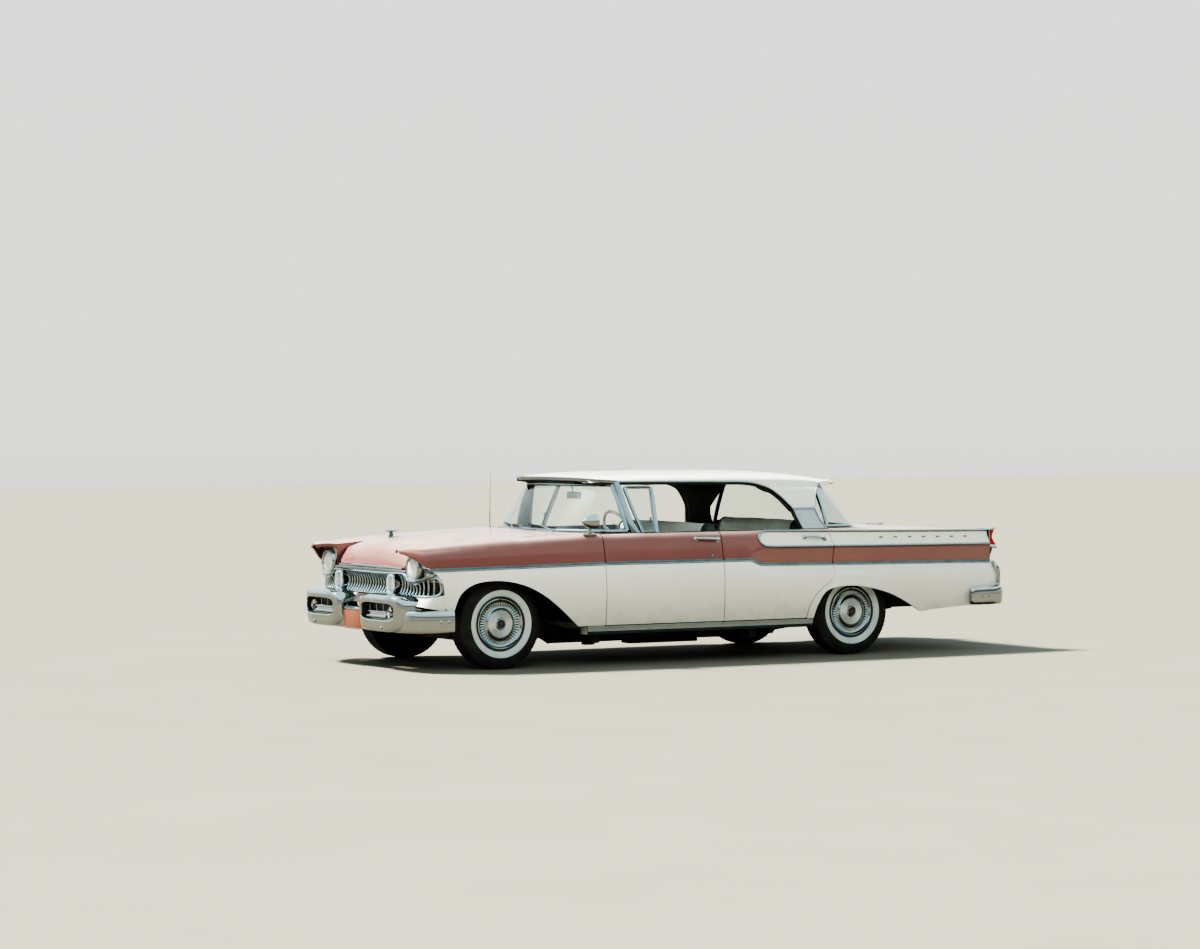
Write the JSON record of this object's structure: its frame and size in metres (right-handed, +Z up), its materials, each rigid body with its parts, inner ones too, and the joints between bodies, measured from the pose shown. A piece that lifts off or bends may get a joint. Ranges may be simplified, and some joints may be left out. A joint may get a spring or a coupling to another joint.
{
  "type": "four-door hardtop saloon car of the late 1950s",
  "caption": "Full-size four-door pillarless hardtop with finned quarters, wraparound screens, steering front wheels, opening doors, hood and trunk lid.",
  "frame": {"origin": "on the ground under the middle of the car, half way between the bumpers", "axes": "+X to the rear of the car, +Y to the car's right, +Z up"},
  "size_m": [5.362, 2.004, 1.4349],
  "materials": {
    "coral_paint": "gloss, sun-faded coral",
    "white_paint": "gloss off-white",
    "black_paint": "satin black underseal",
    "bright_chrome": "polished plate",
    "wheel_cover": "polished pressed cover",
    "window_glass": "clear, faint green",
    "lamp_glass": "fluted sealed lamp",
    "red_lens": "translucent red lens",
    "tyre_rubber": "black with a white side ring",
    "seat_cloth": "grey-green pleated cloth",
    "dark_trim": "dark woven trim",
    "dash_paint": "gloss coral with dark top",
    "ivory_plastic": "ivory moulded",
    "cast_block": "bare casting",
    "spring_steel": "dull steel"
  },
  "bodies": {
    "body": {"front_fenders": "coral_paint", "inner_fenders": "black_paint", "cowl_and_firewall": "coral_paint", "headlights": "lamp_glass", "grille": "bright_chrome", "radiator_and_support": "black_paint", "front_bumper": "bright_chrome", "sills_and_centre_posts": "bright_chrome", "tail_lights": "red_lens", "parcel_shelf": "dark_trim", "quarter_panels_and_deck": "white_paint", "windshield_glass": "window_glass", "rear_window_glass": "window_glass", "roof_and_pillars": "white_paint", "floor_pan": "black_paint", "frame": "black_paint", "engine_and_driveline": "cast_block", "rear_axle": "cast_block", "leaf_springs": "spring_steel", "control_arms": "spring_steel", "exhaust": "spring_steel", "fuel_tank": "black_paint", "dashboard_and_column": "dash_paint", "front_seat": "seat_cloth", "rear_seat": "seat_cloth", "rear_bumper": "bright_chrome"},
    "steering_knuckle_left": {"knuckle_left": "cast_block"},
    "steering_knuckle_right": {"knuckle_right": "cast_block"},
    "front_wheel_left": {"tyre_front_left": "tyre_rubber", "wheel_front_left": "wheel_cover"},
    "front_wheel_right": {"tyre_front_right": "tyre_rubber", "wheel_front_right": "wheel_cover"},
    "rear_wheel_left": {"tyre_rear_left": "tyre_rubber", "wheel_rear_left": "wheel_cover"},
    "rear_wheel_right": {"tyre_rear_right": "tyre_rubber", "wheel_rear_right": "wheel_cover"},
    "front_door_left_leaf": {"front_door_left": "white_paint", "vent_window_left": "bright_chrome"},
    "front_door_right_leaf": {"front_door_right": "white_paint", "vent_window_right": "bright_chrome"},
    "rear_door_left_leaf": {"rear_door_left": "white_paint"},
    "rear_door_right_leaf": {"rear_door_right": "white_paint"},
    "hood_leaf": {"hood": "coral_paint"},
    "trunk_lid_leaf": {"trunk_lid": "coral_paint"},
    "steering_wheel_rim": {"steering_wheel": "ivory_plastic"}
  },
  "joints": [
    {"name": "steer_left", "type": "hinge", "parent": "body", "child": "steering_knuckle_left", "pos_m": [-1.831, -0.64, 0.335], "axis": [0, 0, 1], "range_deg": [-30, 30]},
    {"name": "front_wheel_left_spin", "type": "hinge", "parent": "steering_knuckle_left", "child": "front_wheel_left", "pos_m": [-1.831, -0.754, 0.335], "axis": [0, 1, 0], "continuous": true},
    {"name": "rear_wheel_left_spin", "type": "hinge", "parent": "body", "child": "rear_wheel_left", "pos_m": [1.268, -0.749, 0.335], "axis": [0, 1, 0], "continuous": true},
    {"name": "front_door_left_swing", "type": "hinge", "parent": "body", "child": "front_door_left_leaf", "pos_m": [-1.019, -0.997, 0.64], "axis": [0, 0, -1], "range_deg": [0, 65]},
    {"name": "rear_door_left_swing", "type": "hinge", "parent": "body", "child": "rear_door_left_leaf", "pos_m": [0.009, -1.004, 0.64], "axis": [0, 0, -1], "range_deg": [0, 65]},
    {"name": "steer_right", "type": "hinge", "parent": "body", "child": "steering_knuckle_right", "pos_m": [-1.831, 0.64, 0.335], "axis": [0, 0, 1], "range_deg": [-30, 30]},
    {"name": "front_wheel_right_spin", "type": "hinge", "parent": "steering_knuckle_right", "child": "front_wheel_right", "pos_m": [-1.831, 0.754, 0.335], "axis": [0, 1, 0], "continuous": true},
    {"name": "rear_wheel_right_spin", "type": "hinge", "parent": "body", "child": "rear_wheel_right", "pos_m": [1.268, 0.749, 0.335], "axis": [0, 1, 0], "continuous": true},
    {"name": "front_door_right_swing", "type": "hinge", "parent": "body", "child": "front_door_right_leaf", "pos_m": [-1.019, 0.997, 0.64], "axis": [0, 0, 1], "range_deg": [0, 65]},
    {"name": "rear_door_right_swing", "type": "hinge", "parent": "body", "child": "rear_door_right_leaf", "pos_m": [0.009, 1.004, 0.64], "axis": [0, 0, 1], "range_deg": [0, 65]},
    {"name": "hood_lift", "type": "hinge", "parent": "body", "child": "hood_leaf", "pos_m": [-1.3075, 0, 1.006], "axis": [0, 1, 0], "range_deg": [0, 45]},
    {"name": "trunk_lid_lift", "type": "hinge", "parent": "body", "child": "trunk_lid_leaf", "pos_m": [1.5905, 0, 0.988], "axis": [0, -1, 0], "range_deg": [0, 50]},
    {"name": "steering_wheel_turn", "type": "hinge", "parent": "body", "child": "steering_wheel_rim", "pos_m": [-0.551, -0.4, 0.945], "axis": [0.9063, 0, 0.4226], "range_deg": [-600, 600]}
  ],
  "couplings": [
    {"joint": "steer_right", "follows": "steer_left", "ratio": 1},
    {"joint": "steering_wheel_turn", "follows": "steer_left", "ratio": 20}
  ]
}
